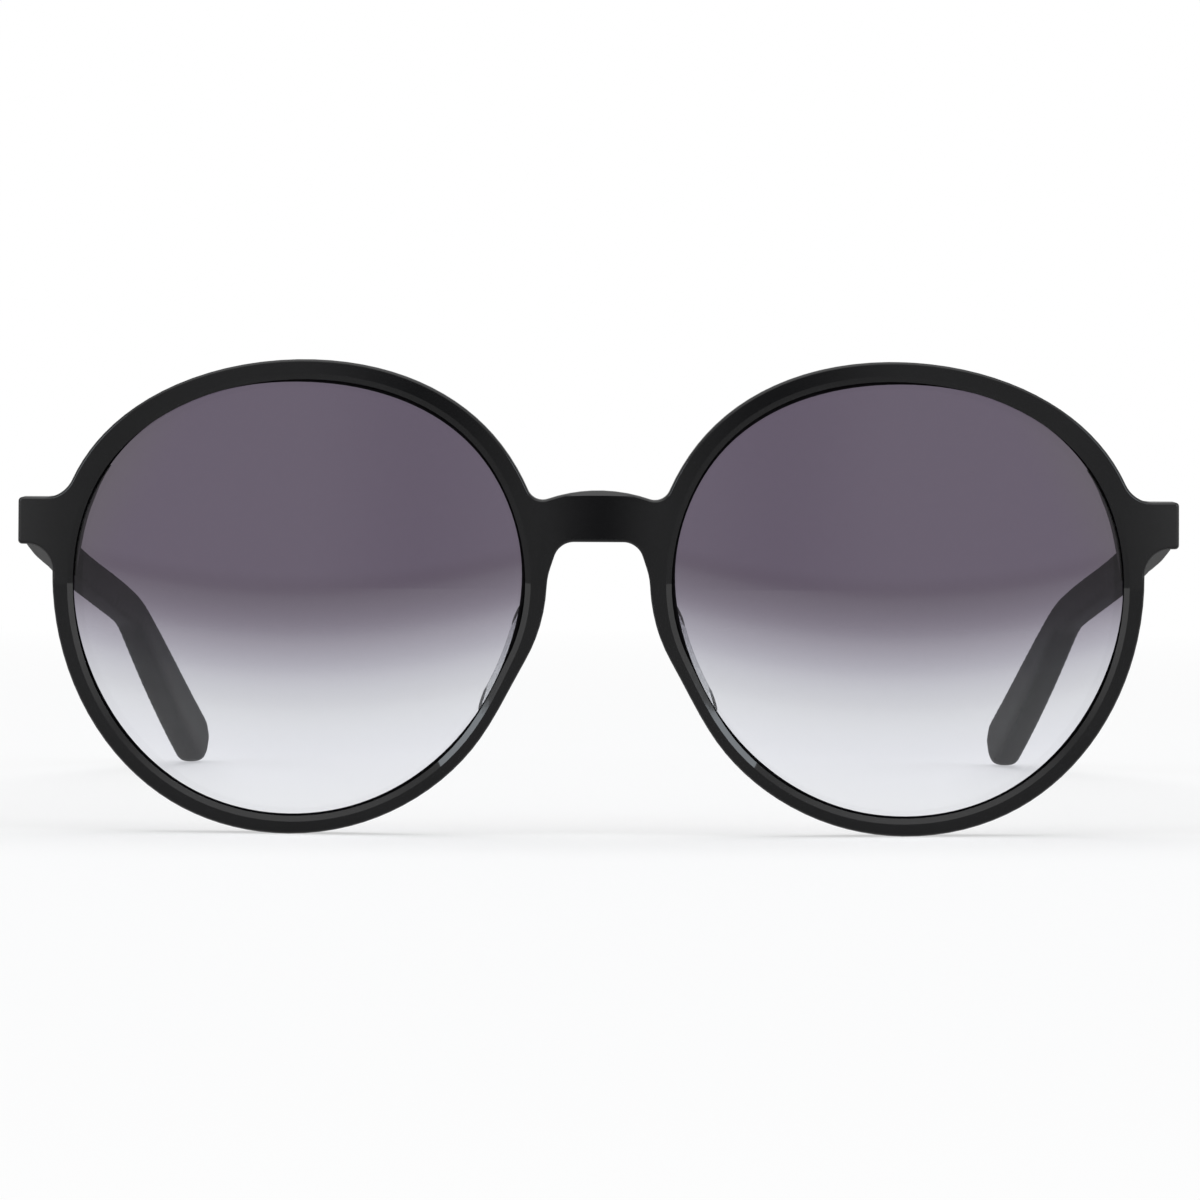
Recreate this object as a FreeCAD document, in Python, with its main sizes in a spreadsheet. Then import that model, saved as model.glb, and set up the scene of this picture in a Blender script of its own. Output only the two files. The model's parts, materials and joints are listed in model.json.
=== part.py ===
"""Oversized round sunglasses: acetate front, gradient lenses, five-barrel hinges and two folding temples.

Millimetres. X runs to the wearer's left, Y from the front of the frame back along the temples, Z up.
The pieces are drawn about the front's apex at eye height, and each one's Placement then stands the
glasses on their rims and temple tips, with the origin under the middle of the whole.
The left side is modelled, and the right side is its mirror image.
"""
import FreeCAD, Part
import math
import os
from FreeCAD import Placement, Rotation, Vector

os.makedirs("parts", exist_ok=True)
doc = FreeCAD.newDocument("Sunglasses")
sheet = doc.addObject("Spreadsheet::Sheet", "sizes")

DRIVING_SIZES = (
    ("eye_x", 37.7, "eye centre to the middle of the bridge"),
    ("opening_nasal_side", 27.45, "opening radius beside the nose, 15 degrees below level"),
    ("opening_nasal", 28.8, "opening radius 10 degrees above level, nose side"),
    ("opening_nasal_brow", 29.35, "opening radius 38 degrees round, nasal end of the brow"),
    ("opening_brow", 27.4, "opening radius 90 degrees round, under the brow"),
    ("opening_temple_brow", 29.3, "opening radius 150 degrees round, temple end of the brow"),
    ("opening_temple", 28.3, "opening radius 195 degrees round, at the temple"),
    ("opening_temple_low", 28.05, "opening radius 240 degrees round"),
    ("opening_bottom", 27.3, "opening radius 285 degrees round"),
    ("opening_nasal_low", 26.95, "opening radius 320 degrees round"),
    ("rim_nasal_side", 2.15, "rim breadth beside the nose"),
    ("rim_nasal", 2.75, "rim breadth at the bridge"),
    ("rim_nasal_brow", 2.6, "rim breadth at the nasal end of the brow"),
    ("rim_brow", 2.5, "rim breadth under the brow"),
    ("rim_temple_brow", 2.95, "rim breadth at the temple end of the brow"),
    ("rim_temple", 2.4, "rim breadth at the temple"),
    ("rim_temple_low", 2.4, "rim breadth below the temple"),
    ("rim_bottom", 2.15, "rim breadth at the bottom"),
    ("rim_nasal_low", 2.0, "rim breadth at the lower nose side"),
    ("front_radius", 133.0, "ball radius of the front face of each rim"),
    ("face_form", 5.7, "degrees that each eye is turned outwards"),
    ("rim_thickness", 3.8, "rim front to back"),
    ("bridge_blend", 60.0, "plan radius of the hollow between the two eyes"),
    ("bridge_crown", 13.6, "bridge crown above the eye centres"),
    ("bridge_crown_radius", 20.0, "radius of the bridge's crowned top"),
    ("bridge_arch", 7.2, "underside of the bridge above the eye centres"),
    ("arch_half_width", 4.95, "half of the arch's width at its top"),
    ("arch_shoulder", 2.6, "radius of the arch's shoulders"),
    ("arch_foot_z", -1.9, "feet of the arch's legs, from the height of the eye centres"),
    ("arch_foot_reach", 1.2, "feet of the legs, noseward of the middle of the rim"),
    ("arch_foot_blend", 9.0, "radius where the arch's legs run into the rims"),
    ("bridge_half_length", 12.3, "middle to the bridge's ends, inside the lens openings"),
    ("bridge_top_blend", 2.0, "radius where the bridge top meets the rims"),
    ("bridge_facet_angle", 30.0, "degrees that the crown's front facet leans back"),
    ("bridge_facet_drop", 0.95, "how far the facet's front edge lies below the crown"),
    ("bridge_facet_half_width", 7.5, "half of the facet's length across, short of the blends into the rims"),
    ("end_piece_reach", 5.0, "end piece beyond the rim"),
    ("end_piece_height", 5.9, "height of the end piece"),
    ("end_piece_z", 9.35, "middle of the end piece above the eye centres"),
    ("end_piece_thickness", 5.4, "end piece front to back at its outer end"),
    ("end_top_blend", 4.0, "radius where the end piece's top meets the rim"),
    ("end_low_blend", 3.4, "radius where its underside meets the rim"),
    ("end_round", 0.5, "rounding of the end piece's long edges"),
    ("front_edge_break", 0.36, "bevel that breaks the front's outer edge"),
    ("rear_edge_break", 0.25, "bevel that breaks the rim's outer rear edge"),
    ("inner_bevel", 0.7, "bevel that slopes in to the lens"),
    ("hinge_block_lip", 0.45, "hinge block's overhang past the opening, behind the lens"),
    ("hinge_block_slope", 4.0, "run-out of the hinge block above and below the end piece"),
    ("hinge_block_bite", 0.25, "how deep the hinge block starts inside the rim"),
    ("lens_setback", 1.0, "lens front behind the rim's front face"),
    ("lens_thickness", 2.0, "lens thickness"),
    ("lens_bevel", 0.6, "depth of the lens's V edge in the rim's groove"),
    ("lens_land", 0.12, "flat left on the lens's V edge"),
    ("lens_shoulder", 0.15, "start of the V edge inside the opening"),
    ("lens_fit", 0.03, "clearance of the lens in its groove"),
    ("pad_angle", 16.5, "middle of the nose pad round the rim, degrees below level"),
    ("pad_length", 15.0, "nose pad length along the rim"),
    ("pad_base_width", 1.6, "nose pad width on the rim"),
    ("pad_crest_width", 1.3, "nose pad width at its crest"),
    ("pad_edge_break", 0.35, "bevel that breaks the edges of the pad's crest"),
    ("pad_depth", 5.0, "how far a nose pad stands behind the rim"),
    ("pad_oval_depth", 6.2, "depth of the oval that rounds off the pad's two ends"),
    ("pad_splay", 1.4, "how far the pad's crest leans away from the nose"),
    ("pad_trim", 1.5, "how far the pad's section starts before the rim's rear face"),
    ("barrel_radius", 1.25, "hinge barrel radius"),
    ("barrel_height", 1.0, "height of one hinge barrel"),
    ("barrel_gap", 0.04, "play between two barrels"),
    ("screw_radius", 0.7, "hinge screw shank radius"),
    ("thread_clearance", 0.02, "front barrels round the screw"),
    ("running_clearance", 0.045, "temple barrels round the screw"),
    ("screw_head_radius", 1.05, "hinge screw head radius"),
    ("screw_head_height", 0.55, "hinge screw head height"),
    ("screw_dome", 0.22, "height of the head's domed top"),
    ("screw_slot_width", 0.35, "width of the screw's slot"),
    ("screw_slot_depth", 0.3, "depth of the screw's slot"),
    ("butt_gap", 0.15, "gap between the end piece and the temple's butt"),
    ("pivot_inset", 1.85, "hinge axis inboard of the temple's inner face"),
    ("plate_thickness", 1.1, "hinge plates sunk in the acetate"),
    ("plate_height", 4.4, "height of the hinge plates"),
    ("front_plate_width", 3.0, "width of the front hinge's plate"),
    ("temple_plate_start", 0.4, "start of the temple hinge's plate behind the butt"),
    ("temple_plate_length", 9.0, "length of the temple hinge's plate"),
    ("temple_plate_taper", 0.82, "height of that plate's far end over its near end"),
    ("plate_fit", 0.02, "clearance round the sunk plates and the core wire"),
    ("temple_thickness", 3.9, "temple thickness"),
    ("temple_edge_break", 0.55, "bevel that breaks the temple's long edges"),
    ("temple_neck", 4.7, "temple height from its taper to the bend"),
    ("taper_length", 42.0, "length over which the temple thins from the butt"),
    ("temple_droop", 10.15, "degrees that the temple slopes down to the bend"),
    ("temple_reach", 80.0, "butt to the start of the bend, along the temple"),
    ("bend_radius", 35.4, "radius of the bend over the ear"),
    ("bend_end_height", 5.3, "temple height where the bend ends"),
    ("tip_angle", 28.5, "degrees that the tip slopes down"),
    ("tip_width", 7.2, "widest part of the tip"),
    ("temple_curve", 620.0, "plan radius of the temple's inward curve"),
    ("core_height", 2.0, "height of the core wire"),
    ("core_thickness", 1.2, "thickness of the core wire"),
    ("core_inset", 0.6, "gap between the hinge plate and the core wire"),
    ("core_end", 9.0, "core wire's end before the end of the tip"),
)

OPENING_ANGLES = (
    ("nasal_side", -15),
    ("nasal", 10),
    ("nasal_brow", 38),
    ("brow", 90),
    ("temple_brow", 150),
    ("temple", 195),
    ("temple_low", 240),
    ("bottom", 285),
    ("nasal_low", 320),
)

SHEET_SWEEP = 36.0  # degrees that a curved sheet is turned through, enough to stand taller than the rims
SHEET_MARGIN = 4.0  # how far a curved sheet runs past the end pieces
CUT_OVERRUN = 1.0  # how far a cutter runs past the face it opens
CUT_SPAN = 120.0  # length of a blank or a cutter that goes right across a piece
PAD_SWEEP = 60.0  # degrees that a nose pad's section is turned through, before its ends are cut
CUT_MARGIN = 10.0  # how far the outline prisms and the temple's plan arcs run past the material


def fill_sheet():
    """Writes the driving sizes into the sheet, a note beside each."""
    for row, (alias, value, note) in enumerate(DRIVING_SIZES, start=1):
        sheet.set(f"A{row}", note)
        sheet.set(f"B{row}", str(value))
        sheet.setAlias(f"B{row}", alias)
    doc.recompute()


def size(alias):
    """A size from the sheet, as a number."""
    return float(sheet.get(alias))


def derive(alias, value):
    """Adds a size worked out from the driving ones, so that expressions can use it, and returns it."""
    row = len(DRIVING_SIZES) + 2 + derive.count
    derive.count += 1
    sheet.set(f"A{row}", "worked out: " + alias.replace("_", " "))
    sheet.set(f"B{row}", f"{value:.6f}")
    sheet.setAlias(f"B{row}", alias)
    doc.recompute()
    return value


derive.count = 0


def bind(item, **expressions):
    """Ties properties to the sheet: a double underscore in a name stands for a dot."""
    for name, expression in expressions.items():
        item.setExpression(name.replace("__", "."), expression)
    return item


def add(kind, name, **properties):
    """A document object with its plain properties set."""
    item = doc.addObject(kind, name)
    for key, value in properties.items():
        setattr(item, key, value)
    return item


fill_sheet()
curve_x = derive("curve_x", size("eye_x") - size("front_radius") * math.sin(math.radians(size("face_form"))))
end_x = derive("end_x", size("eye_x") + size("opening_temple") + size("rim_temple") + size("end_piece_reach"))


def ball_depth(radius, x, z):
    """How far behind the front's apex a ball surface of the left eye lies at x, z."""
    return size("front_radius") - math.sqrt(radius**2 - (x - curve_x) ** 2 - z**2)


blend_reach = size("front_radius") + size("bridge_blend")
bridge_front_y = blend_reach - math.sqrt(blend_reach**2 - curve_x**2)
front_at_end = ball_depth(size("front_radius"), end_x, size("end_piece_z"))
butt_y = derive("butt_y", front_at_end + size("end_piece_thickness"))
temple_y = derive("temple_y", butt_y + size("butt_gap"))
temple_inner_x = derive("temple_inner_x", end_x - size("temple_thickness"))
pivot_x = derive("pivot_x", temple_inner_x - size("pivot_inset"))
pivot_y = derive("pivot_y", temple_y + size("barrel_radius"))
stack_height = derive("stack_height", 5 * size("barrel_height"))
prism_depth = derive("prism_depth", butt_y + CUT_MARGIN)


# ---------------------------------------------------------------- outlines


def eye_curve(with_rim=0.0, offset=0.0, side=1, start=0):
    """The closed curve of one eye in the front view; with_rim 1 is the rim's outer edge, 0 the opening.

    start picks the radius at which the closed curve begins, so that two walls need not share a seam.
    """
    order = OPENING_ANGLES[start:] + OPENING_ANGLES[:start]
    points = []
    turns = []
    for place, angle in order:
        radius = size("opening_" + place) + with_rim * size("rim_" + place) + offset
        turn = math.radians(angle)
        points.append(Vector(side * (size("eye_x") - radius * math.cos(turn)), radius * math.sin(turn), 0))
        turns.append(angle if not turns or angle > turns[-1] else angle + 360)
    curve = Part.BSplineCurve()
    curve.interpolate(Points=points, PeriodicFlag=True, Parameters=turns + [turns[0] + 360])
    return curve


def line_through(points, closed=True):
    """Straight edges from point to point."""
    ends = points[1:] + points[:1] if closed else points[1:]
    return [Part.LineSegment(a, b) for a, b in zip(points, ends)]


def arc_through(start, middle, end):
    return Part.Arc(start, middle, end)


FRONT_VIEW = Placement(Vector(), Rotation(Vector(1, 0, 0), 90))
PLAN_VIEW = Placement()
SIDE_TURN = Rotation(Vector(1, 1, 1), 120)  # a side view: a sketch's x runs back and its y runs up


def free_sketch(name, view, geometry):
    """A sketch of its own in the front view or the plan view."""
    drawing = add("Sketcher::SketchObject", name, Placement=view)
    for piece in geometry:
        drawing.addGeometry(piece, False)
    return drawing


def prism(name, drawing):
    """A front-view outline carried from before the front's apex to behind the end pieces."""
    solid = add("Part::Extrusion", name, Base=drawing, DirMode="Custom", Dir=Vector(0, 1, 0), Solid=True)
    return bind(solid, LengthFwd="sizes.prism_depth", LengthRev="sizes.rim_thickness")


def slab(name, view, outline, direction):
    """An outline carried both ways right across a piece."""
    solid = add("Part::Extrusion", name, DirMode="Custom", Dir=direction, Symmetric=True, Solid=True)
    solid.LengthFwd = CUT_SPAN
    solid.Base = free_sketch(name + "_outline", view, outline)
    return solid


def upright_edges(shape, spots):
    """The front-to-back edges of a prism nearest to spots in the front view."""
    chosen = []
    for spot in spots:
        best = None
        for number, edge in enumerate(shape.Edges, start=1):
            a, b = edge.Vertexes[0].Point, edge.Vertexes[-1].Point
            if abs(a.x - b.x) + abs(a.z - b.z) > 0.001:
                continue
            distance = math.hypot(a.x - spot[0], a.z - spot[1])
            if best is None or distance < best[0]:
                best = (distance, number)
        chosen.append(best[1])
    return chosen


def chamfer(name, base, numbers, leg):
    """An even chamfer on numbered edges."""
    item = add("Part::Chamfer", name, Base=base)
    item.Edges = [(number, leg, leg) for number in numbers]
    doc.recompute()
    return item


# ---------------------------------------------------------------- front frame


def front_outline_prism():
    """Rims, bridge and end pieces as one prism, with its junctions blended."""
    rims = prism("rim_prism", free_sketch("rim_outline", FRONT_VIEW, [eye_curve(1), eye_curve(1, side=-1)]))
    crown = size("bridge_crown")
    inside_x = size("bridge_half_length")
    drop = size("bridge_crown_radius") - math.sqrt(size("bridge_crown_radius") ** 2 - inside_x**2)
    foot_x = size("eye_x") - size("opening_nasal_side") - size("rim_nasal_side") / 2 - size("arch_foot_reach")
    foot_z = size("arch_foot_z")
    arch = size("bridge_arch")
    half = size("arch_half_width")
    left_top = Vector(inside_x, crown - drop, 0)
    right_top = Vector(-inside_x, crown - drop, 0)
    corners = [
        left_top,
        Vector(inside_x, foot_z, 0),
        Vector(foot_x, foot_z, 0),
        Vector(half, arch, 0),
        Vector(-half, arch, 0),
        Vector(-foot_x, foot_z, 0),
        Vector(-inside_x, foot_z, 0),
        right_top,
    ]
    bridge_lines = line_through(corners, closed=False)
    bridge_lines.append(arc_through(right_top, Vector(0, crown, 0), left_top))
    bridge = prism("bridge_prism", free_sketch("bridge_outline", FRONT_VIEW, bridge_lines))
    low = size("end_piece_z") - size("end_piece_height") / 2
    high = low + size("end_piece_height")
    root_x = size("eye_x") + size("opening_temple") - size("rim_temple") / 3
    ends = []
    for side in (1, -1):
        box = [(root_x, low), (end_x, low), (end_x, high), (root_x, high)]
        ends += line_through([Vector(side * x, z, 0) for x, z in box])
    end_prism = prism("end_piece_prism", free_sketch("end_piece_outline", FRONT_VIEW, ends))
    whole = add("Part::MultiFuse", "joined_prism", Shapes=[rims, bridge, end_prism], Refine=True)
    doc.recompute()
    rim_out = size("opening_temple") + size("rim_temple")
    low_x = size("eye_x") + math.sqrt(rim_out**2 - low**2)
    high_x = size("eye_x") + math.sqrt(rim_out**2 - high**2)
    shape = whole.Shape
    edges = []

    def blend(spots, alias):
        both = [(side * x, z) for x, z in spots for side in (1, -1)]
        edges.extend((number, size(alias), size(alias)) for number in upright_edges(shape, both))

    shoulder_x = half + size("arch_shoulder")
    blend([(end_x, low), (end_x, high)], "end_round")
    blend([(low_x, low)], "end_low_blend")
    blend([(high_x, high)], "end_top_blend")
    blend([(half, arch)], "arch_shoulder")
    blend([(shoulder_x, arch / 3)], "arch_foot_blend")
    blend([(shoulder_x, crown)], "bridge_top_blend")
    blended = add("Part::Fillet", "blended_prism", Base=whole)
    blended.Edges = edges
    doc.recompute()
    return blended


def shell_profile(front_inset, thickness):
    """Plan of the curved sheet between two ball radii, with the hollow between the eyes."""
    centre_y = size("front_radius")
    reach = end_x + SHEET_MARGIN
    blend = size("bridge_blend")
    blend_y = bridge_front_y - blend

    def chain(radius):
        """Right eye, hollow and left eye at one ball radius, from right to left."""
        hollow = blend + centre_y - radius
        tangent_x = curve_x * (1 - radius / (centre_y + blend))
        end_depth = centre_y - math.sqrt(radius**2 - (reach - curve_x) ** 2)
        tangent_depth = centre_y - math.sqrt(radius**2 - (tangent_x - curve_x) ** 2)
        apex_depth = centre_y - radius
        return (
            Vector(-reach, end_depth, 0),
            Vector(-curve_x, apex_depth, 0),
            Vector(-tangent_x, tangent_depth, 0),
            Vector(0, blend_y + hollow, 0),
            Vector(tangent_x, tangent_depth, 0),
            Vector(curve_x, apex_depth, 0),
            Vector(reach, end_depth, 0),
        )

    front = chain(centre_y - front_inset)
    rear = chain(centre_y - front_inset - thickness)
    lines = []
    for points in (front, rear):
        lines += [arc_through(*points[i : i + 3]) for i in (0, 2, 4)]
    lines += [Part.LineSegment(front[0], rear[0]), Part.LineSegment(front[-1], rear[-1])]
    return lines


def curved_sheet(name, front_inset, thickness):
    """A sheet with its plan turned about the level axis through the balls, behind the front face by the inset."""
    blank = add("Part::Revolution", name, Axis=Vector(1, 0, 0), Angle=SHEET_SWEEP, Symmetric=True, Solid=True)
    blank.Source = free_sketch(name + "_plan", PLAN_VIEW, shell_profile(front_inset, thickness))
    return bind(blank, Base__y="sizes.front_radius")


def edges_on(shape, picks_face, picks_point):
    """Edges that bound exactly one of the picked faces and whose middle passes the second test."""
    owners = {}
    for face in shape.Faces:
        if picks_face(face):
            for edge in face.Edges:
                owners[edge.hashCode()] = owners.get(edge.hashCode(), 0) + 1
    chosen = []
    for number, edge in enumerate(shape.Edges, start=1):
        if owners.get(edge.hashCode(), 0) == 1 and picks_point(edge.valueAt(sum(edge.ParameterRange) / 2)):
            chosen.append(number)
    return chosen


def on_sheet_face(radius):
    """A test for the faces of one side of the curved sheet: its balls and the hollow between them."""
    hollow = size("bridge_blend") + size("front_radius") - radius

    def test(face):
        surface = face.Surface
        kind = surface.TypeId
        if kind == "Part::GeomSphere":
            return abs(surface.Radius - radius) < 0.001
        return kind == "Part::GeomToroid" and abs(surface.MinorRadius - hollow) < 0.001

    return test


def in_opening(point):
    """True inside an eye's outline half way across its rim."""
    wall = Part.Face(Part.Wire(eye_curve(0.5).toShape()))
    return wall.isInside(Vector(abs(point.x), point.z, 0), 0.001, True)


def eye_plate(name, sides, grow=0.0):
    """A lens for each side, or a cutter for its groove: a curved sheet cut to the eye curve, with a V edge."""
    inset = size("lens_setback") - grow
    thickness = size("lens_thickness") + 2 * grow
    curves = [eye_curve(0, size("lens_bevel") + grow, side, start=4) for side in sides]
    cutter = prism(name + "_prism", free_sketch(name + "_outline", FRONT_VIEW, curves))
    plate = add("Part::Common", name + "_plate", Base=cutter, Tool=curved_sheet(name + "_sheet", inset, thickness))
    doc.recompute()
    borders = []
    for radius in (size("front_radius") - inset, size("front_radius") - inset - thickness):
        borders += edges_on(plate.Shape, on_sheet_face(radius), lambda point: True)
    along = size("lens_bevel") + size("lens_shoulder")
    edged = add("Part::Chamfer", name, Base=plate)
    edged.Edges = [(number, along, (thickness - size("lens_land")) / 2) for number in borders]
    doc.recompute()
    return edged


def build_front_blank():
    """Curved sheet cut to the outline, opened for the lenses, and bevelled round them and outside."""
    blank = curved_sheet("curved_sheet", 0.0, size("rim_thickness"))
    whole = add("Part::Common", "front_sheet", Base=front_outline_prism(), Tool=blank)
    eyes = free_sketch("opening_outline", FRONT_VIEW, [eye_curve(0), eye_curve(0, side=-1)])
    opened = add("Part::Cut", "bare_front", Base=whole, Tool=prism("opening_prism", eyes))
    doc.recompute()
    front_face = on_sheet_face(size("front_radius"))
    rear_face = on_sheet_face(size("front_radius") - size("rim_thickness"))
    inner = edges_on(opened.Shape, front_face, in_opening)
    bevelled = chamfer("bevelled_front", opened, inner, size("inner_bevel"))
    outer = edges_on(bevelled.Shape, front_face, lambda point: not in_opening(point))
    eased = chamfer("eased_front", bevelled, outer, size("front_edge_break"))
    behind = edges_on(eased.Shape, rear_face, lambda point: not in_opening(point))
    return chamfer("front_blank", eased, behind, size("rear_edge_break"))


def hinge_blocks():
    """The thicker backs of the end pieces that the hinges are sunk in, run out along the rims."""
    opening_x = size("eye_x") + size("opening_temple")
    rear_radius = size("front_radius") - size("rim_thickness")
    start_y = ball_depth(rear_radius, opening_x, size("end_piece_z")) - size("hinge_block_bite")
    low = size("end_piece_z") - size("end_piece_height") / 2
    high = low + size("end_piece_height")
    slope = size("hinge_block_slope")
    corners = [(start_y, low - slope), (butt_y, low), (butt_y, high), (start_y, high + slope)]
    slabs = []
    for side, name in ((1, "left"), (-1, "right")):
        view = Placement(Vector(side * size("eye_x"), 0, 0), SIDE_TURN)
        drawing = free_sketch(name + "_block_side", view, line_through([Vector(y, z, 0) for y, z in corners]))
        slab = add("Part::Extrusion", name + "_slab", Base=drawing, DirMode="Custom", Dir=Vector(side, 0, 0))
        slab.Solid = True
        slabs.append(bind(slab, LengthFwd="sizes.end_x"))
    pair = add("Part::MultiFuse", "slabs", Shapes=slabs)
    shaped = add("Part::Common", "shaped_slabs", Base=doc.getObject("blended_prism"), Tool=pair)
    lip = [eye_curve(0, -size("hinge_block_lip")), eye_curve(0, -size("hinge_block_lip"), side=-1)]
    eyes = prism("block_opening_prism", free_sketch("block_opening_outline", FRONT_VIEW, lip))
    blocks = add("Part::Cut", "hinge_blocks", Base=shaped, Tool=eyes)
    doc.recompute()
    return blocks


def plate_pockets():
    """Cutters for the front hinges' plates, a fit larger than the plates."""
    cutters = []
    for side, name in ((1, "left"), (-1, "right")):
        box = add("Part::Box", name + "_plate_pocket")
        width = "(sizes.front_plate_width + 2 * sizes.plate_fit)"
        bind(
            box,
            Length=width,
            Width=f"sizes.plate_thickness + sizes.plate_fit + {CUT_OVERRUN}",
            Height="sizes.plate_height + 2 * sizes.plate_fit",
            Placement__Base__x=f"{side} * sizes.pivot_x - {width} / 2",
            Placement__Base__y="sizes.butt_y - sizes.plate_thickness - sizes.plate_fit",
            Placement__Base__z="sizes.end_piece_z - sizes.plate_height / 2 - sizes.plate_fit",
        )
        cutters.append(box)
    return cutters


def crown_facet():
    """A tilted box that leans the bridge's crown back from a straight front edge."""
    lean = math.radians(size("bridge_facet_angle"))
    edge_z = size("bridge_crown") - size("bridge_facet_drop")
    corner = Vector(
        -size("bridge_facet_half_width"),
        bridge_front_y - CUT_OVERRUN * math.cos(lean),
        edge_z - CUT_OVERRUN * math.sin(lean),
    )
    box = add("Part::Box", "crown_facet", Placement=Placement(corner, Rotation(Vector(1, 0, 0), math.degrees(lean))))
    return bind(
        box,
        Length="2 * sizes.bridge_facet_half_width",
        Width="2 * sizes.rim_thickness",
        Height="sizes.rim_thickness",
    )


def build_front():
    """The front frame: blank and hinge blocks in one, grooved for the lenses, with the hinges' pockets."""
    blocked = add("Part::MultiFuse", "blocked_front", Shapes=[build_front_blank(), hinge_blocks()], Refine=True)
    groove = eye_plate("groove", (1, -1), size("lens_fit"))
    cutters = add("Part::MultiFuse", "front_cutters", Shapes=[groove, crown_facet()] + plate_pockets())
    return add("Part::Cut", "front_frame", Base=blocked, Tool=cutters)


# ---------------------------------------------------------------- bodies and their sketches


def new_body(name):
    return add("PartDesign::Body", name, Label=name)


def body_sketch(body, name, role, geometry, offset=0.0):
    """A sketch on one of the body's own origin planes."""
    drawing = body.newObject("Sketcher::SketchObject", name)
    plane = next(item for item in body.Origin.OriginFeatures if item.Role == role)
    drawing.AttachmentSupport = [(plane, "")]
    drawing.MapMode = "FlatFace"
    drawing.AttachmentOffset = Placement(Vector(0, 0, offset), Rotation())
    for piece in geometry:
        drawing.addGeometry(piece, False)
    return drawing


def feature(body, kind, name, drawing, **properties):
    """A PartDesign feature on a sketch."""
    item = body.newObject(kind, name)
    if drawing is not None:
        item.Profile = drawing
        drawing.Visibility = False
    for key, value in properties.items():
        setattr(item, key, value)
    return item


def circle(x, y, radius):
    return Part.Circle(Vector(x, y, 0), Vector(0, 0, 1), radius)


def polygon(points):
    return line_through([Vector(x, y, 0) for x, y in points])


# ---------------------------------------------------------------- nose pads


def pad_section(radius, seat_y):
    """The pad's cross-section beside the axis of its arc: it leans away from the nose to a bevelled crest."""
    foot = size("pad_base_width") / 2
    crest = size("pad_crest_width") / 2
    bevel = size("pad_edge_break")
    crest_x = radius - size("pad_splay")
    foot_y = seat_y - size("pad_trim")
    crest_y = seat_y + size("pad_depth")
    corners = (
        (radius - foot, foot_y),
        (radius + foot, foot_y),
        (crest_x + crest, crest_y - bevel),
        (crest_x + crest - bevel, crest_y),
        (crest_x - crest + bevel, crest_y),
        (crest_x - crest, crest_y - bevel),
    )
    return line_through([Vector(x, y, 0) for x, y in corners])


def build_nose_pad():
    """A clear pad: its section turned along the rim, cut to an oval fin and to the ball that it sits on."""
    rim_middle = eye_curve(0.5, start=4)
    half_turn = math.degrees(size("pad_length") / 2 / size("opening_nasal_side"))
    spots = [rim_middle.value(360 - size("pad_angle") + turn) for turn in (-half_turn, 0, half_turn)]
    line = arc_through(*spots).toShape().Curve
    centre = Vector(line.Center.x, 0, line.Center.y)
    middle = Vector(spots[1].x, 0, spots[1].y)
    nosewards = (middle - centre).normalize()
    back = Vector(0, 1, 0)
    along = back.cross(nosewards)
    seat_y = ball_depth(size("front_radius") - size("rim_thickness"), middle.x, middle.z)
    sweep = add("Part::Revolution", "pad_sweep", Axis=back, Base=centre, Angle=PAD_SWEEP, Symmetric=True)
    section_view = Placement(centre, Rotation(nosewards, back, nosewards.cross(back), "XYZ"))
    sweep.Source = free_sketch("pad_section", section_view, pad_section(line.Radius, seat_y))
    sweep.Solid = True
    oval = Part.Ellipse(Vector(0, seat_y, 0), size("pad_length") / 2, size("pad_oval_depth"))
    fin_view = Placement(middle, Rotation(along, back, along.cross(back), "XYZ"))
    fin = slab("pad_fin", fin_view, [oval], nosewards)
    ball = add("Part::Sphere", "rim_rear_ball")
    bind(ball, Radius="sizes.front_radius - sizes.rim_thickness")
    bind(ball, Placement__Base__x="sizes.curve_x", Placement__Base__y="sizes.front_radius")
    return add("Part::MultiCommon", "left_nose_pad", Shapes=[sweep, fin, ball])


# ---------------------------------------------------------------- hinges


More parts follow.
